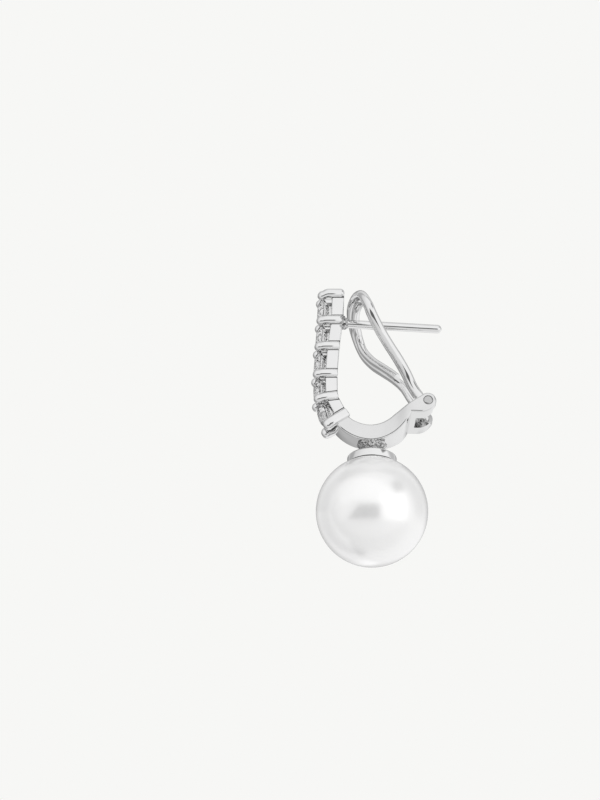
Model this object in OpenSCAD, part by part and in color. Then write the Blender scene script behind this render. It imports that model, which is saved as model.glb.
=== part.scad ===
// Pearl drop earring with a row of claw-set brilliants, an ear post and a wire clip.
// Units are millimetres. +Z is up, -Y is the front with the stones, +Y the back.
// The origin is on the post's axis at the back of the setting, where the ear lobe sits.

/* [Pearl] */
// Diameter of the pearl
pearl_d = 10; // [9:0.25:11]
// Outer diameter of the cup on the pearl
cup_d = 4.5; // [4:0.1:5]
// Gap between the pearl and the metal
glue_gap = 0.03; // [0.02:0.01:0.06]

/* [Stones] */
// Girdle diameter of each stone
stone_d = 2.4; // [2.2:0.05:2.45]
// Gap between a stone and its seat
seat_gap = 0.03; // [0.02:0.01:0.05]
// How far the claws stand in front of the tables
claw_rise = 0.14; // [0.1:0.02:0.2]

/* [Setting] */
// Height of a prong bar
bar_h = 0.8; // [0.7:0.02:0.84]
// Width of a prong bar from side to side
bar_w = 0.86; // [0.8:0.02:0.92]
// Distance of a bar's middle from the middle plane
bar_x = 1.08; // [1.0:0.02:1.14]
// Depth of the gallery rail from front to back
rail_depth = 1.1; // [1.0:0.05:1.3]
// Half the width of the gallery rail
rail_half_w = 1.14; // [1.1:0.02:1.2]

/* [Strap] */
// Radius of the inside of the J
strap_in_r = 3.04; // [2.9:0.02:3.1]
// Radius of the outside of the J
strap_out_r = 3.87; // [3.8:0.02:4.0]
// Half the width of the strap below the stones
strap_half_w = 1.15; // [1.1:0.05:1.3]
// Half the width over the two ears
ear_half_w = 2.45; // [2.3:0.05:2.6]

/* [Post] */
// Diameter of the ear post
post_d = 0.75; // [0.7:0.05:0.9]
// Length of the post behind the setting
post_len = 8.55; // [7.5:0.05:9]
// Downward slope of the post in degrees
post_slope = 1.5; // [0:0.5:2]

/* [Clip] */
// Diameter of the clip's wire
wire_d = 0.8; // [0.7:0.05:0.85]
// Radial gap between the wire and its hole in the ear
pivot_gap = 0.03; // [0.02:0.01:0.04]

/* [Hidden] */
$fn = 48;

// Prong bars from the top down. Columns: y and z of the bar's middle, tilt in degrees, length,
// height as a share of bar_h.
BARS = [
    [-1.43, 2.43, 2, 2.39, 1],
    [-1.52, -0.18, 2, 2.41, 1],
    [-1.78, -2.74, 2, 2.25, 1],
    [-1.95, -5.46, 2, 2.21, 1],
    [-1.90, -7.78, 10, 2.17, 1],
    [-1.02, -9.93, 34.5, 2.52, 1.2]
];
bar_count = len(BARS);
stone_count = bar_count - 1;
bar_round = 0.26;
claw_r = bar_w / 2;
// How far a bar's straight length stops behind the front of its claw, as a share of the claw's radius
claw_bare = 0.7;

// Direction from a bar's front to its back, and the points along the bar
function bar_dir(i) = [cos(BARS[i][2]), sin(BARS[i][2])];
function bar_mid(i) = [BARS[i][0], BARS[i][1]];
function bar_front(i) = bar_mid(i) - bar_dir(i) * BARS[i][3] / 2;
function bar_back(i) = bar_mid(i) + bar_dir(i) * BARS[i][3] / 2;

// A round brilliant's proportions
crown_h = 0.16 * stone_d;
girdle_h = 0.04 * stone_d;
pavilion_h = 0.43 * stone_d;
table_share = 0.57;
star_share = 0.55;
lower_share = 0.77;
culet_hole_r = 0.5;
hole_reach = 3;

// Each stone lies square to the line between two neighbouring bars' fronts
function stone_chord(i) = bar_front(i) - bar_front(i + 1);
function stone_tilt(i) = -atan2(stone_chord(i)[0], stone_chord(i)[1]);
function stone_in(i) = [cos(stone_tilt(i)), sin(stone_tilt(i))];
function stone_pos(i) =
    (bar_front(i) + bar_front(i + 1)) / 2 + stone_in(i) * (claw_rise + crown_h);

// The J strap: two circles that are not concentric, so that the strap is thickest at the bottom
strap_in_c = [2.09, -7.27];
strap_out_c = [2.11, -8.01];
strap_bottom_z = strap_out_c[1] - strap_out_r;

// The fork at the strap's back end
pivot = [7.14, -8.34];
ear_r = 0.74;
heel_c = [6.45, -8.1];
heel_r = 1.43;
fork_slope = 34;
slot_half_w = 1.66;
slot_front_y = 6.0;
slot_floor_z = -8.92;
window_half_w = 1.0;
window_front_y = 6.15;
room_l = 4;
pin_proud = 0.04;
far = 20;
// Where the fork's straight top edge leaves the inside of the J
strap_end_y = strap_in_c[0] + strap_in_r * sin(fork_slope);
joint_overlap = 0.1;

// Half widths of the strap and ears. Columns: y, half width.
PLAN = [
    [-4, strap_half_w],
    [2.2, strap_half_w],
    [3.4, strap_half_w + 0.22],
    [4.6, strap_half_w + 0.7],
    [5.3, ear_half_w],
    [8.4, ear_half_w]
];

// The post's solder, a ball round its root
solder_r = 0.62;
solder_y = -0.28;

// The cup, its neck and its peg, down from the strap
neck_r = 1.07;
neck_h = 0.47;
neck_in_cup = 0.3;
neck_in_strap = 0.35;
cup_top_z = strap_bottom_z - neck_h;
cup_r = cup_d / 2;
cup_wall_top = 0.80;
pearl_r = pearl_d / 2;
crown_of_cup = 1.0;
// Radius of the ball whose cap is the cup's dome
dome_r = (cup_r * cup_r + cup_wall_top * cup_wall_top) / (2 * cup_wall_top);
pearl_back = 0.19;
pearl_c = [0, strap_out_c[0] + pearl_back, cup_top_z - crown_of_cup - pearl_r];
cup_in_r = pearl_r + glue_gap;
rim_w = 0.02;
cup_rim_z = sqrt(cup_in_r * cup_in_r - cup_r * cup_r) + rim_w;
peg_r = 0.45;
peg_depth = 4.2;

// The clip's middle line, from the pivot up one leg to the tip. Columns: half width, y, z.
LEG = [
    [1.22, pivot[0], pivot[1]],
    [1.27, 5.98, -6.72],
    [1.62, 5.30, -5.41],
    [2.26, 4.51, -4.31],
    [3.02, 3.64, -3.31],
    [3.83, 2.81, -2.31],
    [4.43, 2.08, -1.16],
    [4.60, 1.60, -0.10],
    [4.05, 1.12, 0.96],
    [2.85, 0.80, 1.46],
    [1.45, 0.58, 1.60]
];
leg_last = len(LEG) - 1;
clip_tip = [0, 0.50, 1.64];
steps_per_span = 4;
wire_sides = 12;
wire_r = wire_d / 2;
elbow_r = wire_r + 0.02;
inner_wire_r = 0.36;
inner_wire_in = 0.66;
// Points of the loop left bare at each end of the second wire, on the +X leg and on the other
inner_skip = [3, 9];
// Normal of the sheet in which the loop lies
loop_normal = [0, 0.83, 0.56];

// Whole loop: one leg up, the tip, the other leg down
LOOP = concat(LEG, [clip_tip], [for (i = [leg_last:-1:0]) [-LEG[i][0], LEG[i][1], LEG[i][2]]]);
loop_last = len(LOOP) - 1;

function unit(v) = v / norm(v);
function at(i) = LOOP[max(0, min(loop_last, i))];
function curve(a, b, c, d, t) =
    0.5 * (2 * b + (c - a) * t + (2 * a - 5 * b + 4 * c - d) * t * t
    + (3 * b - a - 3 * c + d) * t * t * t);
LINE = concat(
    [for (i = [0:loop_last - 1]) for (j = [0:steps_per_span - 1])
        curve(at(i - 1), at(i), at(i + 1), at(i + 2), j / steps_per_span)],
    [LOOP[loop_last]]
);
function tangent(path, i) =
    unit(path[min(len(path) - 1, i + 1)] - path[max(0, i - 1)]);
function inward(path, i) = unit(cross(tangent(path, i), loop_normal));
INNER = [
    for (i = [inner_skip[0]:len(LINE) - 1 - inner_skip[1]])
        LINE[i] + inner_wire_in * inward(LINE, i)
];

// A bar of rounded section that runs along Y, with a round claw at its front end
module prong_bar(i) {
    length = BARS[i][3];
    core_w = bar_w - 2 * bar_round;
    height = bar_h * BARS[i][4];
    core_h = height - 2 * bar_round;
    translate([0, BARS[i][0], BARS[i][1]])
    rotate([BARS[i][2], 0, 0]) {
        translate([0, length / 2, 0])
        rotate([90, 0, 0])
        linear_extrude(length - claw_r * claw_bare) {
            square([bar_w, core_h], center = true);
            square([core_w, height], center = true);
            for (sx = [-1, 1], sz = [-1, 1])
                translate([sx * core_w / 2, sz * core_h / 2])
                circle(bar_round);
        }
        translate([0, claw_r - length / 2, 0])
        rotate([90, 0, 0])
        sphere(claw_r);
    }
}

// The rail behind the stones, through the back ends of all bars
module gallery_rail() {
    rotate([90, 0, 90])
    translate([0, 0, -rail_half_w])
    linear_extrude(2 * rail_half_w)
    polygon(concat(
        [for (i = [0:bar_count - 1]) bar_back(i)],
        [for (i = [bar_count - 1:-1:0]) bar_back(i) - bar_dir(i) * rail_depth]
    ));
}

// Everything below a line just above the last bar's middle
module below_last_bar() {
    last = bar_count - 1;
    translate(bar_mid(last))
    rotate(BARS[last][2])
    translate([-far, joint_overlap - 2 * far])
    square([3 * far, 2 * far]);
}

// Everything below the sloping top edge of the fork
module below_fork_top() {
    translate(pivot)
    rotate(fork_slope)
    translate([-far, ear_r - far])
    square([2 * far, far]);
}

// Lower half of the heel, with the block between it, the pin and the strap
module heel() {
    intersection() {
        translate(heel_c)
        circle(heel_r);
        translate([0, pivot[1] - far])
        square(far);
    }
    polygon([
        [strap_end_y, heel_c[1] - heel_r],
        [heel_c[0], heel_c[1] - heel_r],
        [heel_c[0], pivot[1] - ear_r / 4],
        pivot,
        pivot + ear_r * [-sin(fork_slope), cos(fork_slope)],
        [strap_end_y, pivot[1]]
    ]);
}

// Side outline of the strap and fork, in the plane of Y and Z
module strap_outline() {
    intersection() {
        below_last_bar();
        translate([strap_end_y - 2 * far, -2 * far])
        square(2 * far);
        difference() {
            translate(strap_out_c)
            circle(strap_out_r);
            translate(strap_in_c)
            circle(strap_in_r);
        }
    }
    intersection() {
        below_fork_top();
        translate([strap_end_y - joint_overlap, -2 * far])
        square(2 * far);
        difference() {
            union() {
                translate(strap_out_c)
                circle(strap_out_r);
                heel();
            }
            translate(strap_in_c)
            circle(strap_in_r);
        }
    }
    translate(pivot)
    circle(ear_r);
}

// The strap with the widths of PLAN
module strap() {
    intersection() {
        rotate([90, 0, 90])
        translate([0, 0, -ear_half_w])
        linear_extrude(2 * ear_half_w)
        strap_outline();
        translate([0, 0, -far])
        linear_extrude(2 * far)
        polygon(concat(
            [for (p = PLAN) [p[1], p[0]]],
            [for (i = [len(PLAN) - 1:-1:0]) [-PLAN[i][1], PLAN[i][0]]]
        ));
    }
}

// Room for the clip between the ears, the window below it and the holes for the wire's ends
module fork_room() {
    translate([-slot_half_w, slot_front_y, slot_floor_z])
    cube([2 * slot_half_w, room_l, room_l]);
    translate([-window_half_w, window_front_y, slot_floor_z - room_l / 2])
    cube([2 * window_half_w, room_l, room_l]);
    translate([-ear_half_w - 1, pivot[0], pivot[1]])
    rotate([0, 90, 0])
    cylinder(h = 2 * ear_half_w + 2, r = wire_r + pivot_gap);
}

// The post and the solder that holds it to the rail
module ear_post() {
    root = rail_depth / 2;
    rotate([-post_slope, 0, 0]) {
        translate([0, -root, 0])
        rotate([-90, 0, 0])
        cylinder(h = post_len + root - post_d / 2, d = post_d);
        translate([0, post_len - post_d / 2, 0])
        sphere(d = post_d);
        translate([0, solder_y, 0])
        sphere(solder_r);
    }
}

// Cup with a domed top, drawn about the pearl's middle
module cup() {
    cup_top = pearl_r + crown_of_cup;
    translate(pearl_c) {
        difference() {
            intersection() {
                translate([0, 0, cup_rim_z])
                cylinder(h = cup_top, r = cup_r);
                translate([0, 0, cup_top - dome_r])
                sphere(dome_r);
            }
            sphere(cup_in_r);
        }
        translate([0, 0, pearl_r - peg_depth])
        cylinder(h = peg_depth + crown_of_cup / 2, r = peg_r);
        translate([0, 0, cup_top - neck_in_cup])
        cylinder(h = neck_in_cup + neck_h + neck_in_strap, r = neck_r);
    }
}

// Outline of half a stone, grown by the seat's gap, from the hole behind it to the front
module stone_room(i) {
    g = seat_gap;
    r = stone_d / 2 + g;
    translate([0, stone_pos(i)[0], stone_pos(i)[1]])
    rotate([90 + stone_tilt(i), 0, 0])
    rotate_extrude()
    polygon([
        [0, -hole_reach],
        [culet_hole_r, -hole_reach],
        [culet_hole_r, -girdle_h - g - pavilion_h * (1 - culet_hole_r / r)],
        [r, -girdle_h - g],
        [r, g / 2],
        [r * table_share, crown_h + g],
        [0, crown_h + g]
    ]);
}

module setting_frame() {
    color("gainsboro")
    difference() {
        union() {
            for (flip = [0, 1])
                mirror([flip, 0, 0])
                translate([bar_x, 0, 0])
                for (i = [0:bar_count - 1])
                    prong_bar(i);
            gallery_rail();
            strap();
            ear_post();
            cup();
        }
        fork_room();
        for (i = [0:stone_count - 1])
            stone_room(i);
    }
}

// A round brilliant with its table up and its upper girdle edge in the plane Z = 0
module brilliant() {
    r = stone_d / 2;
    table_r = r * table_share;
    star_r = table_r * cos(22.5) + star_share * (r - table_r * cos(22.5));
    star_z = crown_h * (r - star_r * cos(22.5)) / (r - table_r);
    low_r = r * (1 - lower_share);
    low_z = -girdle_h - pavilion_h * (1 - low_r * cos(22.5) / r);
    table_at = 0;
    star_at = 8;
    top_at = 16;
    under_at = 32;
    low_at = 48;
    culet_at = 56;
    points = concat(
        [for (k = [0:7]) [table_r * cos(45 * k), table_r * sin(45 * k), crown_h]],
        [for (k = [0:7]) [star_r * cos(45 * k + 22.5), star_r * sin(45 * k + 22.5), star_z]],
        [for (k = [0:15]) [r * cos(22.5 * k), r * sin(22.5 * k), 0]],
        [for (k = [0:15]) [r * cos(22.5 * k), r * sin(22.5 * k), -girdle_h]],
        [for (k = [0:7]) [low_r * cos(45 * k + 22.5), low_r * sin(45 * k + 22.5), low_z]],
        [[0, 0, -girdle_h - pavilion_h]]
    );
    faces = concat(
        [[for (k = [7:-1:0]) table_at + k]],
        [for (k = [0:7]) [table_at + k, table_at + (k + 1) % 8, star_at + k]],
        [for (k = [0:7]) [table_at + k, star_at + k, top_at + 2 * k, star_at + (k + 7) % 8]],
        [for (k = [0:7]) [star_at + k, top_at + 2 * k + 1, top_at + 2 * k]],
        [for (k = [0:7]) [star_at + k, top_at + (2 * k + 2) % 16, top_at + 2 * k + 1]],
        [for (k = [0:15]) [top_at + k, top_at + (k + 1) % 16, under_at + (k + 1) % 16, under_at + k]],
        [for (k = [0:7]) [low_at + k, under_at + 2 * k, under_at + 2 * k + 1]],
        [for (k = [0:7]) [low_at + k, under_at + 2 * k + 1, under_at + (2 * k + 2) % 16]],
        [for (k = [0:7]) [culet_at, low_at + (k + 7) % 8, under_at + 2 * k, low_at + k]]
    );
    polyhedron(points, faces);
}

module stone(i) {
    color("aliceblue")
    translate([0, stone_pos(i)[0], stone_pos(i)[1]])
    rotate([90 + stone_tilt(i), 0, 0])
    brilliant();
}

module pearl() {
    color("ivory")
    translate(pearl_c)
    difference() {
        sphere(pearl_r);
        translate([0, 0, pearl_r - peg_depth - glue_gap])
        cylinder(h = peg_depth + 1, r = peg_r + glue_gap);
    }
}

// A round wire along a path
module wire(path, r) {
    n = wire_sides;
    last = len(path) - 1;
    rings = [for (i = [0:last])
        let (t = tangent(path, i), b = unit(cross(t, loop_normal)), c = cross(b, t))
        for (k = [0:n - 1]) path[i] + r * (b * cos(360 * k / n) + c * sin(360 * k / n))
    ];
    polyhedron(rings, concat(
        [[for (k = [n - 1:-1:0]) k]],
        [for (i = [0:last - 1]) for (k = [0:n - 1])
            [i * n + k, i * n + (k + 1) % n, (i + 1) * n + (k + 1) % n, (i + 1) * n + k]],
        [[for (k = [0:n - 1]) last * n + k]]
    ));
}

module clip_wire() {
    color("silver") {
        resize([0, 0, 0]) {
            wire(LINE, wire_r);
            wire(INNER, inner_wire_r);
        }
        for (side = [-1, 1]) {
            translate([side * LEG[0][0], pivot[0], pivot[1]])
            sphere(elbow_r);
            translate([side * LEG[0][0], pivot[0], pivot[1]])
            rotate([0, side * 90, 0])
            cylinder(h = ear_half_w + pin_proud - LEG[0][0], r = wire_r);
        }
    }
}

setting_frame();
stone(0);  // stone_1
stone(1);  // stone_2
stone(2);  // stone_3
stone(3);  // stone_4
stone(4);  // stone_5
pearl();
clip_wire();
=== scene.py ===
"""Pearl drop earring: a curved strap with claw-set brilliants, a pearl, an ear post and a wire clip."""
from collections import namedtuple
from math import asin, atan2, cos, pi, radians, sin, sqrt, tan

import bpy
from mathutils import Matrix, Vector


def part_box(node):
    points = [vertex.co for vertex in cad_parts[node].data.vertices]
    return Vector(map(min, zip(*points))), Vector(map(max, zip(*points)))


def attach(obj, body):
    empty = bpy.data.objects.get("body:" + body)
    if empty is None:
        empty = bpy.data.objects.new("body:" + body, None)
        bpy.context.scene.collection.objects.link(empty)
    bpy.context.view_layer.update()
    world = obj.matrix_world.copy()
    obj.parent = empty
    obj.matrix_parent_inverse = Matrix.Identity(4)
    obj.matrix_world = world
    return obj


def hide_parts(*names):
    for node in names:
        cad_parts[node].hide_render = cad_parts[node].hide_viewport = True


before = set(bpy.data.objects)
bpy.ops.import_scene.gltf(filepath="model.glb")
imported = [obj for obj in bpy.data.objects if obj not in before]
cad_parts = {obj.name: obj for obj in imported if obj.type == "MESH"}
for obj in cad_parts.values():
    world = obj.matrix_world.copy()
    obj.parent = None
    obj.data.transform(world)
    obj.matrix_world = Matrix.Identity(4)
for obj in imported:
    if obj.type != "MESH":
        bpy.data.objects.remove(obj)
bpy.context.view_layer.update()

# Measures are in mm in the CAD frame: +z up, -y to the front with the stones, +y to the back
MM = 0.001
# Points nearer than this are merged, and a point this near to a bisect's plane counts as on it, in metres
WELD, BISECT_REACH = 0.0005 * MM, 0.0001 * MM

# Prong bars from the top down: the bar's middle, its tilt in degrees, its length and its height
Bar = namedtuple("Bar", "y z tilt length height")
BARS = [
    Bar(-1.43, 2.43, 2, 2.39, 0.80),
    Bar(-1.52, -0.18, 2, 2.41, 0.80),
    Bar(-1.78, -2.74, 2, 2.25, 0.80),
    Bar(-1.95, -5.46, 2, 2.21, 0.80),
    Bar(-1.90, -7.78, 10, 2.17, 0.80),
    Bar(-1.02, -9.93, 34.5, 2.52, 0.96),
]
# A bar's width, its distance from the middle plane and the rounding of its section
BAR_W, BAR_X, BAR_CORNER = 0.86, 1.08, 0.34
# The rounding of a bar's back end, and of the top bar's
BACK_ROUND, TOP_BACK_ROUND = 0.12, 0.34
# A claw leans in over the length of its bend, and a little more over its dome. The top bar's claws droop.
CLAW_R, CLAW_BEND, CLAW_LEAN, DOME_LEAN, TOP_DROOP = BAR_W / 2, 0.55, 0.16, 0.05, 0.15
# Angle of the dome's last ring, in degrees
DOME_END = 84
RAIL_DEPTH, RAIL_HALF_W, RAIL_ROUND = 1.1, 1.14, 0.13
# How far the grooves round a bar, painted dark as shade, reach below and above it, and into the rail's side
SHADE_GROOVE_BELOW, SHADE_GROOVE_ABOVE, SHADE_GROOVE_DEPTH = 0.045, 0.11, 0.05

STONE_D = 2.4
CROWN_H, CLAW_RISE = 0.16 * STONE_D, 0.14
# A stone's seat in the rail: the gap round the girdle, the straight wall behind and before the girdle, and
# the depth of the cone behind that
SEAT_GAP, SEAT_WALL, SEAT_LEAD, SEAT_DEPTH = 0.03, 0.1, 0.4, 0.43 * STONE_D
LIGHT_HOLE_R, LIGHT_HOLE_L = 0.5, 3.5

# The strap's inner and outer circles: y, z, radius
STRAP_IN = (2.09, -7.27, 3.04)
STRAP_OUT = (2.11, -8.01, 3.87)
# How far the strap's end lies above the last bar's middle line
STRAP_LAP = 0.1
# Half widths of the strap and ears: y, half width
PLAN = [(-4, 1.15), (2.2, 1.15), (3.4, 1.37), (4.6, 1.85), (5.3, 2.45), (8.4, 2.45)]
# How far to both sides a corner of the plan is rounded, and from which y and over what length the strap
# gets the cuts that its widening needs
PLAN_BLUR, FLARE_FROM, FLARE_OVER = 0.45, 1.9, 4.0
EAR_HALF_W, SLOT_HALF_W, WINDOW_HALF_W = 2.45, 1.66, 1.0
STRAP_ROUND, SLOT_ROUND = 0.2, 0.25
# The clip's axis: y, z. The pins' holes are widened a little at the ears' faces.
PIVOT = (7.14, -8.34)
EAR_R, PIN_HOLE_R, SINK_R, SINK_DEPTH = 0.74, 0.43, 0.46, 0.03
# The heel's circle under the ears: y, z, radius
HEEL = (6.45, -8.1, 1.43)
FORK_SLOPE = radians(34)
# In radians: the heel's turn, the foot of the ears' round, and how far from the fork's tangent the inner
# circle starts
HEEL_TURN, EAR_FOOT, FORK_REACH = 0.97, -0.78, 0.16
SLOT_FRONT_Y, SLOT_FLOOR_Z, WINDOW_FRONT_Y = 6.0, -8.92, 6.15

POST_R, POST_L, POST_SLOPE, POST_ROOT = 0.375, 8.55, radians(1.5), 0.2
WIRE_R, SECOND_WIRE_R, WIRES_APART = 0.40, 0.36, 0.66
# The clip's middle line from the pin up one leg: half width, y, z
LEG = [
    (1.22, 7.14, -8.34), (1.27, 5.98, -6.72), (1.62, 5.30, -5.41), (2.26, 4.51, -4.31),
    (3.02, 3.64, -3.31), (3.83, 2.81, -2.31), (4.43, 2.08, -1.16), (4.60, 1.60, -0.10),
    (4.05, 1.12, 0.96), (2.85, 0.80, 1.46), (1.45, 0.58, 1.60),
]
CLIP_TIP = (0, 0.50, 1.64)
LOOP_NORMAL = Vector((0, 0.83, 0.56))
# How far a pin's end lies inside the ear's face, the size of its elbow, and its filed head's rise and lap
PIN_SUNK, PIN_BEND, HEAD_RISE, HEAD_LAP = 0.06, 0.42, 0.09, 0.1
# Points of the loop that the second wire leaves bare at its two ends
SKIP_NEAR, SKIP_FAR = 7, 26

PEARL_LOW, PEARL_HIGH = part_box("pearl")
PEARL_R = (PEARL_HIGH.x - PEARL_LOW.x) / 2 / MM
PEARL_C = Vector((0, (PEARL_LOW.y + PEARL_HIGH.y) / 2 / MM, PEARL_LOW.z / MM + PEARL_R))
PEARL_GAP = 0.03
CUP_R, CUP_CROWN, CUP_WALL_TOP, CUP_LIP = 2.2, 1.0, 0.80, 0.24
# Roundings of the cup's lip, of its shoulder and of the foot of its neck
LIP_ROUND, SHOULDER, NECK_FLARE = 0.05, 0.16, 0.12
# The neck's radius, its height and its lap inside the strap
NECK_R, NECK_H, NECK_LAP = 1.07, 0.47, 0.3
PEG_R, PEG_DEPTH, PEG_EDGE = 0.45, 4.2, 0.06
DRILL_R, DRILL_DEPTH = 0.48, 4.23

# Solder round the post's root, and beads at the back end of the second bar on the right: x, y, z, radius
ROOT_SOLDER = (0, -0.24, 0, 0.56)
SOLDER_BEADS = [
    (1.42, -0.42, -0.10, 0.24), (1.42, -0.30, -0.52, 0.22), (1.38, -0.22, -0.86, 0.17),
    (1.30, -0.50, -0.66, 0.15), (1.35, -0.12, -0.22, 0.18),
]
# The neck's solder: its lap over the strap, its reach down the cup, its waist, its flare, and how far
# inside the neck it ends
SOLDER_LAP, SOLDER_FOOT, SOLDER_WAIST, SOLDER_FLARE, SOLDER_INSET = 0.04, 0.26, 0.02, 0.30, 0.2

# The camera looks up at the earring's right side. CAMERA_FAR and the floor's values are in metres.
CAMERA_BELOW, CAMERA_FORWARD = radians(25), radians(4.5)
CAMERA_FAR = 2.0
PIXEL = 0.08895 * MM
PEARL_PIXEL = (372.0, 511.45)
PICTURE = (600, 800)
FILM_W = 36
FLOOR_SIZE, FLOOR_Z = 16, -1.7

# The light tent, in degrees across from the camera's way, with plus to the right, and in degrees upwards.
# BEHIND_SPLIT and LOW_RIGHT_ACROSS go from -1, straight to the left, to 1, straight to the right. A pair
# says where a soft edge starts and ends, and three numbers give a band's two ends and its edges' softness.
FRONT_LEFT_EDGE, FRONT_RIGHT_EDGE, FRONT_FOOT = (-108, -40), (96, 86), (-20, -14)
FRONT_LOW, FRONT_HIGH = 0.78, 0.97
BEHIND_SPLIT, BEHIND_RISE = (-0.26, -0.06), (-16, 12)
BEHIND_LEFT, BEHIND_RIGHT, BEHIND_HIGH = 0.57, 0.95, 0.78
# How much lighter the tent is straight to the right than in the middle
RIGHT_LIFT = 0.06
# The dark opening for the lens, with a slanted left edge
LENS_SLANT, LENS_LEFT, LENS_RIGHT, LENS_BAND, LENS_DARK = 0.9, (-43, -37), (17, 13), (-14, 15, 2), 0.86
# A dark gap in the tent, high on the right
GAP_ACROSS, GAP_UPWARD, GAP_DARK = (60, 93, 6), (35, 54, 4), 0.75
# A dark place straight behind, left out low on the right
BACK_CONE, BACK_DARK, LOW_RIGHT_ACROSS, LOW_RIGHT_UPWARD = (50, 14), 0.46, (0.10, 0.34), (-2, -14)
# Dark flags at both sides. The right one doesn't reach down.
FLAG_RIGHT, FLAG_LEFT, FLAG_FOOT, SIDE_DARK = (100, 134, 8), (-134, -100, 8), (-14, 0), 0.26
BACKDROP = (0.93, 0.93, 0.915, 1)
# Extra light on matt surfaces, and the even light that is seen through the stones
MATT_BOOST, STONE_LIFT = 0.16, 0.6

# Lamps for the pearl alone: name, left, right, lower and upper edge in degrees, level, and whether it
# lights the matt body as well as the gloss
LAMPS = [
    ("lamp_right", 21, 80, -16, 34, 0.44, False),
    ("lamp_top", -72, 30, 22, 74, 0.28, False),
    ("lamp_front_left", -82, -46, -12, 22, 0.14, False),
    ("lamp_low", -72, 60, -52, -22, 0.12, False),
    ("lamp_left", -170, -90, -65, 0, 0.36, True),
    ("lamp_upper_left", -170, -90, 0, 42, 0.17, False),
]
LAMP_DISTANCE = 0.4


def nothing_selected():
    if bpy.context.object and bpy.context.object.mode != "OBJECT":
        bpy.ops.object.mode_set(mode="OBJECT")
    bpy.ops.object.select_all(action="DESELECT")


def only(piece):
    """Selects this piece alone and makes it active."""
    nothing_selected()
    piece.select_set(True)
    bpy.context.view_layer.objects.active = piece


def edit(piece, select="SELECT", mode="VERT"):
    only(piece)
    bpy.ops.object.mode_set(mode="EDIT")
    bpy.ops.mesh.select_mode(type=mode)
    bpy.ops.mesh.select_all(action=select)


def done(name=None):
    """Leaves edit mode, and names the piece if a name is given."""
    bpy.ops.object.mode_set(mode="OBJECT")
    piece = bpy.context.object
    if name:
        piece.name = name
        piece.data.name = name
    return piece


def pick_faces(piece, test):
    """Goes into edit mode with the faces selected that pass the test."""
    edit(piece, "DESELECT", "FACE")
    bpy.ops.object.mode_set(mode="OBJECT")
    for face in piece.data.polygons:
        face.select = test(face)
    bpy.ops.object.mode_set(mode="EDIT")


def modified(piece, kind, **settings):
    """Adds a modifier with these settings and applies it."""
    only(piece)
    modifier = piece.modifiers.new(kind.lower(), kind)
    for key, value in settings.items():
        setattr(modifier, key, value)
    bpy.ops.object.modifier_apply(modifier=modifier.name)
    return piece


def smoothed(piece, sharp_from):
    """Shades the piece smooth, apart from edges that turn by more than these degrees."""
    only(piece)
    bpy.ops.object.shade_smooth_by_angle(angle=radians(sharp_from))
    return piece


def flat_faced(piece):
    """Keeps the large faces flat to the light and the rounded edges smooth."""
    smoothed(piece, sharp_from=32)
    return modified(piece, "WEIGHTED_NORMAL", keep_sharp=True)


def quarter(k, steps):
    """Angle at one step of a quarter turn."""
    return radians(90 * k / steps)


def closed_up():
    """Merges what meets in the mesh that is open for editing, and turns all its faces outwards."""
    bpy.ops.mesh.select_all(action="SELECT")
    bpy.ops.mesh.remove_doubles(threshold=WELD)
    bpy.ops.mesh.normals_make_consistent(inside=False)
    return done()


def traced(name, points, closed=True):
    """Draws a line from point to point, each a place in mm, and fills it if it is closed."""
    nothing_selected()
    bpy.ops.mesh.primitive_plane_add(size=MM)
    bpy.ops.object.mode_set(mode="EDIT")
    bpy.ops.mesh.select_mode(type="VERT")
    bpy.ops.mesh.merge(type="CENTER")
    places = [Vector(p) * MM for p in points]
    bpy.ops.transform.translate(value=places[0])
    for before, after in zip(places, places[1:]):
        bpy.ops.mesh.extrude_vertices_move(TRANSFORM_OT_translate={"value": after - before})
    bpy.ops.mesh.select_all(action="SELECT")
    if closed:
        bpy.ops.mesh.edge_face_add()
    return done(name)


def extruded(x, y, z):
    """Extrudes what is selected by a way in mm."""
    bpy.ops.mesh.extrude_region_move(TRANSFORM_OT_translate={"value": (x * MM, y * MM, z * MM)})


def pulled(piece, x):
    """Extrudes the whole traced face sideways."""
    edit(piece)
    bpy.ops.mesh.extrude_region_move(TRANSFORM_OT_translate={"value": Vector((x, 0, 0)) * MM})
    bpy.ops.mesh.select_all(action="SELECT")
    bpy.ops.mesh.normals_make_consistent(inside=False)
    return done()


def turned(name, profile, centre, axis=(0, 0, 1), steps=96):
    """Spins a profile of (radius, height) about an axis through a centre, as on a lathe."""
    piece = traced(name, [(r, 0, h) for r, h in profile], closed=False)
    edit(piece)
    bpy.ops.mesh.spin(steps=steps, angle=2 * pi, center=(0, 0, 0), axis=(0, 0, 1))
    closed_up()
    lean = Vector((0, 0, 1)).rotation_difference(Vector(axis))
    piece.matrix_world = Matrix.Translation(Vector(centre) * MM) @ lean.to_matrix().to_4x4()
    return placed(piece)


def placed(piece):
    """Moves the piece's place into its mesh."""
    only(piece)
    bpy.ops.object.transform_apply(location=True, rotation=True, scale=True)
    return piece


def round_points(middle_r, middle_h, radius, degrees):
    """Points of a rounding in a profile, with angles from outwards to upwards."""
    return [(middle_r + radius * cos(radians(a)), middle_h + radius * sin(radians(a))) for a in degrees]


def arc(centre, radius, start, end, steps):
    """Points on an arc in the plane of y and z, with angles from +y towards +z."""
    return [
        (centre[0] + radius * cos(start + (end - start) * k / steps),
         centre[1] + radius * sin(start + (end - start) * k / steps))
        for k in range(steps + 1)
    ]


def cut(piece, cutter):
    """Takes the cutter's shape away from the piece, and the cutter out of the scene."""
    modified(piece, "BOOLEAN", operation="DIFFERENCE", object=cutter, solver="EXACT",
             material_mode="TRANSFER")
    bpy.data.objects.remove(cutter)
    return piece


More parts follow.
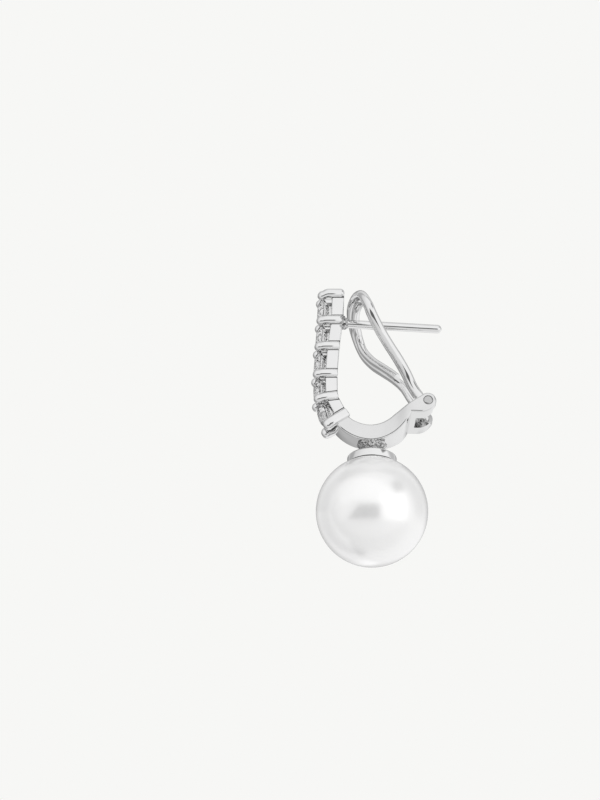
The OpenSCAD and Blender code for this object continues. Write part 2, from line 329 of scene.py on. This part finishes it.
def block(name, low, high):
    """A block between two of its corners in mm."""
    nothing_selected()
    low, high = Vector(low), Vector(high)
    bpy.ops.mesh.primitive_cube_add(size=1, location=(low + high) / 2 * MM, scale=(high - low) * MM)
    bpy.context.object.name = name
    return placed(bpy.context.object)


def rod(name, start, end, radius, vertices):
    """A round rod between two places in mm."""
    nothing_selected()
    start, end = Vector(start) * MM, Vector(end) * MM
    way = end - start
    bpy.ops.mesh.primitive_cylinder_add(
        vertices=vertices, radius=radius * MM, depth=way.length, location=(start + end) / 2,
        rotation=way.to_track_quat("Z", "Y").to_euler(),
    )
    bpy.context.object.name = name
    return placed(bpy.context.object)


def ball(name, place, radius, segments, rings):
    """A ball round a place in mm."""
    nothing_selected()
    bpy.ops.mesh.primitive_uv_sphere_add(
        segments=segments, ring_count=rings, radius=radius * MM, location=Vector(place) * MM)
    bpy.context.object.name = name
    return placed(bpy.context.object)


def roughened(piece, grain_name, grain, strength, middle):
    """Makes a smooth piece uneven with a grain of this size."""
    texture = bpy.data.textures.new(grain_name, "CLOUDS")
    texture.noise_scale = grain * MM
    modified(piece, "DISPLACE", texture=texture, strength=strength * MM, mid_level=middle,
             texture_coords="LOCAL")
    only(piece)
    bpy.ops.object.shade_smooth()
    return piece


def bar_way(i):
    tilt = radians(BARS[i].tilt)
    return Vector((0, cos(tilt), sin(tilt)))


def bar_end(i, side):
    """Middle of a bar's front end, side -1, or back end, side 1."""
    return Vector((0, BARS[i].y, BARS[i].z)) + bar_way(i) * side * BARS[i].length / 2


def set_on_bar(piece, i, x):
    """Moves a piece that is modelled round the origin to a bar's middle and tilts it as the bar."""
    middle = Matrix.Translation(Vector((x, BARS[i].y, BARS[i].z)) * MM)
    piece.matrix_world = middle @ Matrix.Rotation(radians(BARS[i].tilt), 4, "X")
    return placed(piece)


def prong_bar(i, side):
    """A bar of rounded section. Its front end is a claw that leans in over the stones."""
    length, height = BARS[i].length, BARS[i].height
    droop, back_round = (TOP_DROOP, TOP_BACK_ROUND) if i == 0 else (0, BACK_ROUND)
    corner_x, corner_z = BAR_W / 2 - BAR_CORNER, height / 2 - BAR_CORNER
    corners = [(corner_x, corner_z, 0), (-corner_x, corner_z, 90),
               (-corner_x, -corner_z, 180), (corner_x, -corner_z, 270)]
    corner_steps, back_steps, bend_steps, dome_steps = 7, 4, 5, 8
    section = []
    for x, z, start in corners:
        turns = [start + 90 * k / corner_steps for k in range(corner_steps + 1)]
        section += [(across, 0, up) for across, up in round_points(x, z, BAR_CORNER, turns)]
    piece = traced("prong_bar_%d_%s" % (i + 1, "right" if side > 0 else "left"), section)
    edit(piece)
    # Back end first: a small round-over, then the straight length
    bpy.ops.transform.translate(value=(0, length / 2 * MM, 0))
    at, wide, high = 0.0, BAR_W, height
    for k in range(back_steps + 1):
        depth = back_round * (1 - cos(quarter(k, back_steps)))
        less = 2 * back_round * (1 - sin(quarter(k, back_steps)))
        if k:
            extruded(0, at - depth, 0)
        bpy.ops.transform.resize(value=((BAR_W - less) / wide, 1, (height - less) / high))
        at, wide, high = depth, BAR_W - less, height - less
    # The straight length, then the bend, which leans towards the stones, and the claw's dome
    lean_from = length - CLAW_R - CLAW_BEND
    extruded(0, at - lean_from, 0)
    at, lean = lean_from, 0.0
    for k in range(1, bend_steps + 1):
        depth = lean_from + CLAW_BEND * k / bend_steps
        shift = CLAW_LEAN * (k / bend_steps) ** 2
        extruded(-side * (shift - lean), at - depth, -droop / CLAW_LEAN * (shift - lean))
        at, lean = depth, shift
    size = 1.0
    for k in range(1, dome_steps + 1):
        angle = radians(DOME_END * k / dome_steps)
        depth = length - CLAW_R + CLAW_R * sin(angle)
        shift = CLAW_LEAN + DOME_LEAN * k / dome_steps
        extruded(-side * (shift - lean), at - depth, 0)
        bpy.ops.transform.resize(value=(cos(angle) / size, 1, cos(angle) / size))
        at, size, lean = depth, cos(angle), shift
    bpy.ops.mesh.select_all(action="SELECT")
    bpy.ops.mesh.normals_make_consistent(inside=False)
    done()
    return smoothed(set_on_bar(piece, i, side * BAR_X), sharp_from=50)


def stone_place(i):
    """Middle of a stone's girdle and the way into its seat."""
    top, low = bar_end(i, -1), bar_end(i + 1, -1)
    tilt = -atan2((top - low).y, (top - low).z)
    way = Vector((0, cos(tilt), sin(tilt)))
    return (top + low) / 2 + way * (CLAW_RISE + CROWN_H), way


def painted_shade_groove(i, side):
    """Cutter for a thin groove round a bar where it crosses the rail's side; its near-black faces are
    painted shade.
    """
    length, height = BARS[i].length, BARS[i].height
    inner, outer = sorted((side * (RAIL_HALF_W - SHADE_GROOVE_DEPTH), side * (RAIL_HALF_W + BAR_W)))
    low = (inner, length / 2 - RAIL_DEPTH - BAR_W, -height / 2 - SHADE_GROOVE_BELOW)
    high = (outer, length / 2 + BAR_W, height / 2 + SHADE_GROOVE_ABOVE)
    groove_cutter = block("bar_painted_shade_groove", low, high)
    groove_cutter.data.materials.append(painted_shade_metal)
    return set_on_bar(groove_cutter, i, 0)


def gallery_rail():
    """The rail behind the stones, with a seat and a light hole behind each of them."""
    count = len(BARS)
    back = [bar_end(i, 1) for i in range(count)]
    front = [back[i] - bar_way(i) * RAIL_DEPTH for i in reversed(range(count))]
    rail = traced("gallery_rail", [(-RAIL_HALF_W, p.y, p.z) for p in back + front])
    pulled(rail, 2 * RAIL_HALF_W)
    modified(rail, "BEVEL", width=RAIL_ROUND * MM, segments=6, limit_method="ANGLE",
             angle_limit=radians(35), use_clamp_overlap=True, miter_outer="MITER_ARC")
    smoothed(rail, sharp_from=32)
    rail.data.materials.append(metal)
    # Each bar gets a thin groove in the rail's side, painted dark as shade.
    for i in range(count):
        for side in (-1, 1):
            cut(rail, painted_shade_groove(i, side))
    seat_r = STONE_D / 2 + SEAT_GAP
    seat_profile = [(0, SEAT_LEAD), (seat_r, SEAT_LEAD), (seat_r, -SEAT_WALL), (0, -SEAT_WALL - SEAT_DEPTH)]
    for i in range(count - 1):
        place, way = stone_place(i)
        cut(rail, rod("light_hole", place, place + way * LIGHT_HOLE_L, LIGHT_HOLE_R, 48))
        cut(rail, turned("seat", seat_profile, place, axis=-way, steps=48))
    return flat_faced(rail)


def half_width(y):
    """Half the strap's width, a little rounded between the plan's corners."""
    def straight(at):
        for (y0, w0), (y1, w1) in zip(PLAN, PLAN[1:]):
            if at <= y1:
                return w0 + (w1 - w0) * max(0, at - y0) / (y1 - y0)
        return PLAN[-1][1]
    samples = 9
    shares = [2 * k / (samples - 1) - 1 for k in range(samples)]
    return sum(straight(y + PLAN_BLUR * share) for share in shares) / samples


def strap_outline():
    """Side outline of the strap, heel and ears, as (y, z), from the last bar round the outside and back."""
    y_in, z_in, r_in = STRAP_IN
    y_out, z_out, r_out = STRAP_OUT
    heel_y, heel_z, heel_r = HEEL
    bar = BARS[-1]
    tilt = radians(bar.tilt)
    mid = Vector((bar.y, bar.z)) + Vector((-sin(tilt), cos(tilt))) * STRAP_LAP

    def meets(centre, radius):
        """Angle on a circle where the last bar's line crosses it, on the front side."""
        to = mid - Vector(centre)
        along = Vector((cos(tilt), sin(tilt)))
        b = to.dot(along)
        t = -b - sqrt(b * b - to.length_squared + radius * radius)
        p = to + along * t
        return atan2(p.y, p.x) % (2 * pi)

    heel_floor = heel_z - heel_r
    outer_end = 2 * pi - asin((z_out - heel_floor) / r_out)
    down, tangent = 1.5 * pi, 1.5 * pi + FORK_SLOPE
    # The steps of the two long arcs stay longer than STRAP_ROUND, so that the insets don't fold
    points = arc((y_out, z_out), r_out, meets((y_out, z_out), r_out), outer_end, 34)
    points += arc((heel_y, heel_z), heel_r, down, down + HEEL_TURN, 14)
    points += arc(PIVOT, EAR_R, EAR_FOOT, pi / 2 + FORK_SLOPE, 22)
    points += arc((y_in, z_in), r_in, tangent + FORK_REACH, meets((y_in, z_in), r_in), 19)
    return points


def strap_and_fork():
    """The J strap with the two ears that hold the clip."""
    flat = EAR_HALF_W - STRAP_ROUND
    strap = traced("strap_and_fork", [(-flat, y, z) for y, z in strap_outline()])
    pulled(strap, 2 * flat)
    round_steps, stations = 7, 18
    for side in (-1, 1):
        pick_faces(strap, lambda face: face.normal.x * side > 0.9)
        for k in range(round_steps):
            a, b = quarter(k, round_steps), quarter(k + 1, round_steps)
            bpy.ops.mesh.inset(thickness=STRAP_ROUND * (cos(a) - cos(b)) * MM,
                               depth=STRAP_ROUND * (sin(b) - sin(a)) * MM)
        done()
    for k in range(stations):
        edit(strap)
        y = FLARE_FROM + FLARE_OVER * k / (stations - 1)
        bpy.ops.mesh.bisect(plane_co=(0, y * MM, 0), plane_no=(0, 1, 0), threshold=BISECT_REACH)
        done()
    # The sides move in to the plan's width
    for vertex in strap.data.vertices:
        narrower = EAR_HALF_W - half_width(vertex.co.y / MM)
        vertex.co.x -= narrower * MM if vertex.co.x > 0 else -narrower * MM
    # The strap gets the darker copy of the metal: painted shade.
    strap.data.materials.append(strap_painted_shade_metal)
    # The room between the ears, the window in its floor and the pins' holes. The cutters end outside.
    past = 4
    slot = block("slot", (-SLOT_HALF_W, SLOT_FRONT_Y, SLOT_FLOOR_Z),
                 (SLOT_HALF_W, SLOT_FRONT_Y + past, SLOT_FLOOR_Z + past))
    modified(slot, "BEVEL", width=SLOT_ROUND * MM, segments=5)
    window = block("window", (-WINDOW_HALF_W, WINDOW_FRONT_Y, SLOT_FLOOR_Z - past / 2),
                   (WINDOW_HALF_W, WINDOW_FRONT_Y + past, SLOT_FLOOR_Z + past / 2))
    half = [(0, EAR_HALF_W + 1), (SINK_R, EAR_HALF_W + 1), (SINK_R, EAR_HALF_W),
            (PIN_HOLE_R, EAR_HALF_W - SINK_DEPTH)]
    other_half = [(r, -x) for r, x in reversed(half)]
    pin_hole = turned("pin_hole", half + other_half, (0, *PIVOT), axis=(1, 0, 0), steps=48)
    # The cut faces of the slot and the window get the dark metal: painted shade in these recesses.
    for cutter, cut_face_material in ((slot, painted_shade_inner_metal), (window, painted_shade_inner_metal), (pin_hole, metal)):
        cutter.data.materials.append(cut_face_material)
        cut(strap, cutter)
    return flat_faced(strap)


def ear_post():
    """The post with its round end."""
    start, round_from = -RAIL_DEPTH / 2, POST_L - POST_R
    profile = [(0, start), (POST_R, start), (POST_R, POST_ROOT), (POST_R, round_from)]
    profile += round_points(0, round_from, POST_R, range(10, 90, 10)) + [(0, POST_L)]
    way = (0, cos(POST_SLOPE), -sin(POST_SLOPE))
    return smoothed(turned("ear_post", profile, (0, 0, 0), axis=way, steps=64), sharp_from=40)


def bead(name, x, y, z, radius, rough):
    """An uneven ball of solder."""
    lump = ball(name, (x, y, z), radius, segments=40, rings=28)
    return roughened(lump, name + "_grain", grain=0.30, strength=rough, middle=0.55)


def post_solder():
    """The solder round the post's root and the small beads that ran along the second bar on the right."""
    beads = [bead("post_solder", *ROOT_SOLDER, rough=0.2)]
    for k, place_and_radius in enumerate(SOLDER_BEADS):
        beads.append(bead("solder_bead_%d" % (k + 1), *place_and_radius, rough=0.08))
    return beads


def neck_solder():
    """The uneven fillet of solder between the strap and the cup."""
    crown = PEARL_R + CUP_CROWN
    top, low = crown + NECK_H + SOLDER_LAP, crown - SOLDER_FOOT
    steps = 14
    profile = [(NECK_R - SOLDER_INSET, low)]
    for k in range(steps + 1):
        flare = SOLDER_FLARE * abs(2 * k / steps - 1) ** 1.6
        profile.append((NECK_R + SOLDER_WAIST + flare, low + (top - low) * k / steps))
    profile += [(NECK_R - SOLDER_INSET, top)]
    fillet = turned("neck_solder", profile, PEARL_C, steps=128)
    modified(fillet, "SUBSURF", levels=1, render_levels=1)
    return roughened(fillet, "neck_grain", grain=0.22, strength=0.10, middle=0.5)


def pearl_cup():
    """The domed cup on the pearl, its neck, and the peg that goes into the pearl."""
    top, inside_r = PEARL_R + CUP_CROWN, PEARL_R + PEARL_GAP
    dome_r = (CUP_R ** 2 + CUP_WALL_TOP ** 2) / (2 * CUP_WALL_TOP)
    rim = sqrt(inside_r ** 2 - CUP_R ** 2) + 0.02
    peg_end, neck_top = PEARL_R - PEG_DEPTH, top + NECK_H + NECK_LAP
    steps = 12

    def dome(r):
        return r, top - dome_r + sqrt(dome_r ** 2 - r ** 2)

    profile = [(0, peg_end), (PEG_R - PEG_EDGE, peg_end), (PEG_R, peg_end + PEG_EDGE),
               (PEG_R, sqrt(inside_r ** 2 - PEG_R ** 2))]
    # The inside that follows the pearl, as far as the lip
    inner, outer = asin(PEG_R / inside_r), asin((CUP_R - CUP_LIP) / inside_r)
    for k in range(1, steps + 1):
        a = inner + (outer - inner) * k / steps
        profile.append((inside_r * sin(a), inside_r * cos(a)))
    profile += round_points(CUP_R - LIP_ROUND, rim + LIP_ROUND, LIP_ROUND, (-90, -60, -30, 0))
    wall_end = top - CUP_WALL_TOP - SHOULDER * 0.4
    profile += round_points(CUP_R - SHOULDER, wall_end, SHOULDER, (0, 15, 30, 45))
    dome_from, dome_to = CUP_R - SHOULDER, NECK_R + NECK_FLARE
    profile += [dome(dome_from - (dome_from - dome_to) * k / steps) for k in range(steps + 1)]
    foot = dome(dome_to)[1]
    profile += [(NECK_R + 0.05, foot + 0.05), (NECK_R, foot + 0.14), (NECK_R, neck_top), (0, neck_top)]
    cup = turned("pearl_cup", profile, PEARL_C)
    cup.data.materials.append(metal)
    cup.data.materials.append(painted_shade_metal)
    # The lip's underside next to the pearl gets the near-black metal: a painted shadow line between cup and
    # pearl.
    for face in cup.data.polygons:
        beside = (face.center - PEARL_C * MM).xy.length / MM
        if face.normal.z < -0.6 and beside > CUP_R - CUP_LIP * 1.2:
            face.material_index = 1
    return smoothed(cup, sharp_from=38)


def drilled_pearl():
    """The pearl: a ball that is drilled for the peg."""
    pearl_ball = ball("pearl_ball", PEARL_C, PEARL_R, segments=128, rings=96)
    floor_of_hole = PEARL_C + Vector((0, 0, PEARL_R - DRILL_DEPTH))
    above = PEARL_C + Vector((0, 0, PEARL_R + 1))
    cut(pearl_ball, rod("drill", floor_of_hole, above, DRILL_R, 64))
    return smoothed(pearl_ball, sharp_from=40)


def catmull(points, steps):
    """A smooth line through the points."""
    line = []
    last = len(points) - 1
    for i in range(last):
        a, b, c, d = (points[max(0, min(last, i + k))] for k in (-1, 0, 1, 2))
        for j in range(steps):
            t = j / steps
            line.append(0.5 * (2 * b + (c - a) * t + (2 * a - 5 * b + 4 * c - d) * t ** 2
                               + (3 * b - a - 3 * c + d) * t ** 3))
    return line + [points[last]]


def bent_wire(name, line, radius):
    """A round wire with filled ends along a line in mm."""
    nothing_selected()
    data = bpy.data.curves.new(name, "CURVE")
    data.dimensions = "3D"
    spline = data.splines.new("POLY")
    spline.points.add(len(line) - 1)
    for point, place in zip(spline.points, line):
        point.co = (*(place * MM), 1)
    data.bevel_depth = radius * MM
    data.bevel_resolution = 9
    data.use_fill_caps = True
    piece = bpy.data.objects.new(name, data)
    bpy.context.scene.collection.objects.link(piece)
    only(piece)
    bpy.ops.object.convert(target="MESH")
    piece = bpy.context.object
    edit(piece)
    return smoothed(closed_up(), sharp_from=50)


def clip_wires():
    """The clip's wire with its two pins, and the second wire soldered inside the loop."""
    leg = [Vector(p) for p in LEG]
    mirrored = [Vector((-p.x, p.y, p.z)) for p in reversed(leg)]
    line = catmull(leg + [Vector(CLIP_TIP)] + mirrored, steps=10)
    corners = {side: Vector((side * LEG[0][0], *PIVOT)) for side in (-1, 1)}
    pin_end = EAR_HALF_W - PIN_SUNK

    def pin(side):
        """From the pin's flat end in the ear to the leg, round the elbow."""
        corner = corners[side]
        up_leg = Vector((side * LEG[1][0], *LEG[1][1:])) - corner
        out = Vector((side * pin_end, *PIVOT))
        a, b = corner + Vector((side * PIN_BEND, 0, 0)), corner + up_leg.normalized() * PIN_BEND
        steps = 8
        elbow = [a.lerp(corner, k / steps).lerp(corner.lerp(b, k / steps), k / steps)
                 for k in range(steps + 1)]
        return [out, out.lerp(a, 0.5)] + elbow

    clear = PIN_BEND + 0.05
    legs = [p for p in line if all((p - corner).length > clear for corner in corners.values())]
    outer = bent_wire("clip_wire_outer", pin(1) + legs + list(reversed(pin(-1))), WIRE_R)
    inner = []
    for i in range(SKIP_NEAR, len(line) - SKIP_FAR):
        way = (line[i + 1] - line[i - 1]).normalized()
        inner.append(line[i] + WIRES_APART * way.cross(LOOP_NORMAL).normalized())
    second = bent_wire("clip_wire_second", inner, SECOND_WIRE_R)
    profile = [(0, -HEAD_LAP), (WIRE_R, -HEAD_LAP), (WIRE_R, 0.0)]
    for a in range(15, 90, 15):
        profile.append((WIRE_R * cos(radians(a)) ** 0.6, HEAD_RISE * sin(radians(a))))
    profile.append((0, HEAD_RISE))
    heads = []
    for side, word in ((-1, "left"), (1, "right")):
        head = turned("pin_head_" + word, profile, (side * pin_end, *PIVOT), axis=(side, 0, 0), steps=48)
        head.data.materials.append(filed_metal)
        heads.append(smoothed(head, sharp_from=40))
    return [outer, second] + heads


class Socket:
    """A node's output that takes part in sums as a number does."""

    def __init__(self, sheet, link):
        self.sheet, self.link = sheet, link

    def _math(self, kind, a, b):
        return self.sheet.node("Math", {0: a, 1: b}, operation=kind)

    def __add__(self, other):
        return self._math("ADD", self, other)

    __radd__ = __add__

    def __mul__(self, other):
        return self._math("MULTIPLY", self, other)

    __rmul__ = __mul__

    def __sub__(self, other):
        return self._math("SUBTRACT", self, other)

    def __rsub__(self, other):
        return self._math("SUBTRACT", other, self)

    def within(self, low, high, soft):
        """1 between low and high, and 0 outside, with a soft edge."""
        rise = self.sheet.ramp(self, low - soft, low + soft)
        fall = self.sheet.ramp(self, high + soft, high - soft)
        return rise * fall


class Sheet:
    """The nodes of one material or of the surroundings."""

    def __init__(self, owner):
        owner.use_nodes = True
        self.tree = owner.node_tree
        self.tree.nodes.clear()

    def node(self, kind, inputs=None, output=0, **settings):
        """Adds a node with these settings, then gives its inputs their values or links."""
        made = self.tree.nodes.new("ShaderNode" + kind)
        for key, value in settings.items():
            setattr(made, key, value)
        for key, value in (inputs or {}).items():
            if isinstance(value, Socket):
                self.tree.links.new(value.link, made.inputs[key])
            else:
                made.inputs[key].default_value = value
        return Socket(self, made.outputs[output]) if made.outputs else made

    def ramp(self, value, start, end, low=0.0, high=1.0):
        """Goes smoothly from low to high as the value goes from start to end."""
        return self.node("MapRange", {"Value": value, "From Min": start, "From Max": end,
                                      "To Min": low, "To Max": high}, interpolation_type="SMOOTHSTEP")

    def tint(self, factor, a, b):
        """The first colour where the factor is 0 and the second where it is 1."""
        return self.node("Mix", {0: factor, 6: a, 7: b}, output=2, data_type="RGBA")

    def noise(self, per_mm, detail=2.0, roughness=0.5):
        place = self.node("TexCoord", output="Object")
        return self.node("TexNoise", {"Vector": place, "Scale": per_mm / MM, "Detail": detail,
                                      "Roughness": roughness})

    def surface(self, **inputs):
        """A surface with these inputs, whose names have an underscore for each space."""
        made = self.node("BsdfPrincipled", {k.replace("_", " "): v for k, v in inputs.items()})
        self.node("OutputMaterial", {"Surface": made})


def grey(value):
    return (value, value, value, 1)


def bright_metal(name, low=0.80, high=0.88, rough=0.02, wave=0.02):
    """Polished white metal: faint ripples from the polishing wheel, scratches and a few duller places."""
    material = bpy.data.materials.new(name)
    sheet = Sheet(material)
    clouds = sheet.noise(0.6, detail=3)
    fine = sheet.noise(14, detail=3, roughness=0.6)
    ripple = sheet.noise(1.1, detail=1)
    dull, scratched = sheet.ramp(clouds, 0.45, 0.7), sheet.ramp(fine, 0.5, 0.75)
    height = ripple * wave + fine * (wave * 0.05)
    normal = sheet.node("Bump", {"Height": height, "Strength": 0.5, "Distance": 1.0 * MM})
    sheet.surface(Base_Color=sheet.tint(clouds, grey(low), grey(high)), Metallic=1.0,
                  Roughness=rough + 0.03 * dull + 0.03 * scratched, Normal=normal)
    return material


def solder_metal():
    """Rough solder that ran and set in small beads."""
    material = bpy.data.materials.new("solder")
    sheet = Sheet(material)
    grain = sheet.noise(4.5, detail=4, roughness=0.65)
    pits = sheet.node("TexVoronoi", {"Vector": sheet.node("TexCoord", output="Object"), "Scale": 6 / MM})
    normal = sheet.node("Bump", {"Height": grain + 0.6 * pits, "Strength": 1.0, "Distance": 0.16 * MM})
    spots = sheet.ramp(grain, 0.35, 0.62)
    sheet.surface(Base_Color=sheet.tint(spots, grey(0.16), grey(0.92)), Metallic=1.0,
                  Roughness=0.06 + 0.14 * grain, Normal=normal)
    return material


def nacre():
    """White pearl nacre: a bright sheen over a white body, with faint warm and cool clouds."""
    material = bpy.data.materials.new("nacre")
    sheet = Sheet(material)
    clouds = sheet.noise(0.25, detail=2)
    body = sheet.tint(clouds, (0.945, 0.94, 0.935, 1), (0.965, 0.965, 0.965, 1))
    skin = sheet.noise(7, detail=3)
    normal = sheet.node("Bump", {"Height": skin, "Strength": 0.12, "Distance": 0.02 * MM})
    sheet.surface(Base_Color=body, Metallic=0.24 + 0.04 * clouds, Roughness=0.22 + 0.05 * skin,
                  Normal=normal, Specular_IOR_Level=0.7, Coat_Weight=0.5, Coat_Roughness=0.08, Coat_IOR=1.6)
    return material


def brilliant_stone():
    """A clear colourless stone with a high refraction and very faint clouds."""
    material = bpy.data.materials.new("brilliant")
    sheet = Sheet(material)
    clouds = sheet.noise(0.9, detail=2)
    sheet.surface(Base_Color=sheet.tint(clouds, grey(0.93), grey(0.99)), Roughness=0.004 * clouds,
                  IOR=2.0, Transmission_Weight=1.0)
    return material


def camera_ways():
    """Ways from the object to the camera, to the picture's right and to its top."""
    e, a = CAMERA_BELOW, CAMERA_FORWARD
    near = Vector((cos(e) * cos(a), -cos(e) * sin(a), -sin(e)))
    right = Vector((sin(a), cos(a), 0))
    return near, right, near.cross(right)


def add_camera():
    """A long lens that puts the pearl's middle on its place in the picture."""
    near, right, up = camera_ways()
    beside, below = PEARL_PIXEL[0] - PICTURE[0] / 2, PEARL_PIXEL[1] - PICTURE[1] / 2
    aim = PEARL_C * MM - right * beside * PIXEL + up * below * PIXEL
    data = bpy.data.cameras.new("camera")
    data.sensor_width = FILM_W
    data.lens = FILM_W * CAMERA_FAR / (PICTURE[1] * PIXEL)
    data.clip_start, data.clip_end = 0.01, 20
    camera = bpy.data.objects.new("camera", data)
    bpy.context.scene.collection.objects.link(camera)
    camera.location = aim + near * CAMERA_FAR
    camera.rotation_euler = Matrix((right, up, near)).transposed().to_euler()
    bpy.context.scene.camera = camera


def studio_light():
    """A white tent: bright in front and above, darker behind, with dark flags and a lens opening."""
    world = bpy.data.worlds.new("light_tent")
    bpy.context.scene.world = world
    sheet = Sheet(world)
    near, right, up = camera_ways()
    way = sheet.node("TexCoord", output="Generated")

    def along(axis):
        return sheet.node("VectorMath", {0: way, 1: axis}, output="Value", operation="DOT_PRODUCT")

    def degree(kind, *values):
        return sheet.node("Math", dict(enumerate(values)), operation=kind) * (180 / pi)

    sideways = along(right)
    across = degree("ARCTAN2", sideways, along(near))
    upward = degree("ARCSINE", along(up))
    in_front = sheet.ramp(across, *FRONT_LEFT_EDGE) * sheet.ramp(across, *FRONT_RIGHT_EDGE)
    front = sheet.ramp(upward, *FRONT_FOOT, FRONT_LOW, FRONT_HIGH) + RIGHT_LIFT * sideways
    low = sheet.ramp(sideways, *BEHIND_SPLIT, BEHIND_LEFT, BEHIND_RIGHT)
    behind = low + sheet.ramp(upward, *BEHIND_RISE) * (BEHIND_HIGH + RIGHT_LIFT * sideways - low)
    level = behind + in_front * (front - behind)
    gap = across.within(*GAP_ACROSS) * upward.within(*GAP_UPWARD)
    straight_behind = sheet.ramp(along(-near), *(cos(radians(a)) for a in BACK_CONE))
    low_right = sheet.ramp(sideways, *LOW_RIGHT_ACROSS) * sheet.ramp(upward, *LOW_RIGHT_UPWARD)
    level = level - gap * GAP_DARK - BACK_DARK * straight_behind * (1 - low_right)
    flags = across.within(*FLAG_RIGHT) * sheet.ramp(upward, *FLAG_FOOT) + across.within(*FLAG_LEFT)
    lens_left = sheet.ramp(across - LENS_SLANT * upward, *LENS_LEFT)
    lens = lens_left * sheet.ramp(across, *LENS_RIGHT) * upward.within(*LENS_BAND)
    level = (level - SIDE_DARK * flags) * (1 - LENS_DARK * lens)
    through = sheet.node("LightPath", output="Is Transmission Ray")
    level = level + through * (STONE_LIFT - STONE_LIFT * level)
    is_camera = sheet.node("LightPath", output="Is Camera Ray")
    seen = sheet.tint(is_camera, sheet.node("CombineColor", {0: level, 1: level, 2: level}), BACKDROP)
    is_diffuse = sheet.node("LightPath", output="Is Diffuse Ray")
    light = sheet.node("Background", {"Color": seen, "Strength": 1 + MATT_BOOST * is_diffuse})
    sheet.node("OutputWorld", {"Surface": light})


def pearl_lamp(lit, name, left, far_right, low, high, level, matt):
    """A soft lamp between these degrees sideways and upwards, that lights one collection alone."""
    near, right, up = camera_ways()
    left, far_right, low, high = (radians(a) for a in (left, far_right, low, high))
    a, e = (left + far_right) / 2, (low + high) / 2
    way = (right * sin(a) + near * cos(a)) * cos(e) + up * sin(e)
    data = bpy.data.lights.new(name, "AREA")
    data.shape = "RECTANGLE"
    data.size = 2 * LAMP_DISTANCE * tan((far_right - left) / 2)
    data.size_y = 2 * LAMP_DISTANCE * tan((high - low) / 2)
    data.energy = level * pi * data.size * data.size_y
    lamp = bpy.data.objects.new(name, data)
    bpy.context.scene.collection.objects.link(lamp)
    lamp.location = PEARL_C * MM + way * LAMP_DISTANCE
    sideways = up.cross(way).normalized()
    lamp.rotation_euler = Matrix((sideways, way.cross(sideways), way)).transposed().to_euler()
    lamp.visible_camera = False
    lamp.visible_diffuse = matt
    lamp.light_linking.receiver_collection = lit


def add_floor():
    """A plain pale floor below the camera. Only the camera sees it, so it doesn't colour the metal."""
    nothing_selected()
    bpy.ops.mesh.primitive_plane_add(size=FLOOR_SIZE, location=(0, 0, FLOOR_Z))
    floor = bpy.context.object
    floor.name = "floor"
    material = bpy.data.materials.new("pale_floor")
    sheet = Sheet(material)
    clouds = sheet.noise(2.0 * MM)
    sheet.surface(Base_Color=sheet.tint(clouds, grey(0.93), grey(0.95)), Roughness=0.9)
    floor.data.materials.append(material)
    for ray in ("visible_glossy", "visible_diffuse", "visible_transmission", "visible_shadow"):
        setattr(floor, ray, False)


def finish_piece(piece, material, body, slot, *nodes):
    """Gives a piece its material, if it has none yet, and its body, and hides the node that it replaces.
    The slot is not used.
    """
    if not any(piece.data.materials):
        piece.data.materials.clear()
        piece.data.materials.append(material)
    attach(piece, body)
    if nodes:
        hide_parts(*nodes)


add_camera()
add_floor()
studio_light()
bpy.context.scene.view_settings.view_transform = "Standard"

metal = bright_metal("bright_metal")
wire_metal = bright_metal("wire_metal", wave=0.012)
# A darker copy of the bright metal for the strap: painted shade.
strap_painted_shade_metal = bright_metal("strap_painted_shade_metal", low=0.73, high=0.80, rough=0.04)
# Dark metal for the faces inside the slot and window: painted shade in these recesses.
painted_shade_inner_metal = bright_metal("painted_shade_inner_metal", low=0.16, high=0.92, rough=0.05)
filed_metal = bright_metal("filed_metal", low=0.50, high=0.62, rough=0.2)
# Near-black metal for the grooves round the bars and the underside of the cup's lip: painted shade.
painted_shade_metal = bright_metal("painted_shade_metal", low=0.04, high=0.12, rough=0.3)
solder = solder_metal()

bars = [prong_bar(i, side) for i in range(len(BARS)) for side in (-1, 1)]
for piece in bars + [gallery_rail(), strap_and_fork(), ear_post(), pearl_cup()]:
    finish_piece(piece, metal, "earring", "metal", "setting_frame")
for piece in post_solder() + [neck_solder()]:
    finish_piece(piece, solder, "earring", "metal", "setting_frame")
pearl = drilled_pearl()
finish_piece(pearl, nacre(), "earring", "pearl", "pearl")
lit_by_lamps = bpy.data.collections.new("lit_by_lamps")
lit_by_lamps.objects.link(pearl)
for lamp_row in LAMPS:
    pearl_lamp(lit_by_lamps, *lamp_row)
for piece in clip_wires():
    finish_piece(piece, wire_metal, "clip", "metal", "clip_wire")
stone = brilliant_stone()
for i in range(1, len(BARS)):
    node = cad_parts["stone_%d" % i]
    node.data.materials.clear()
    node.data.materials.append(stone)
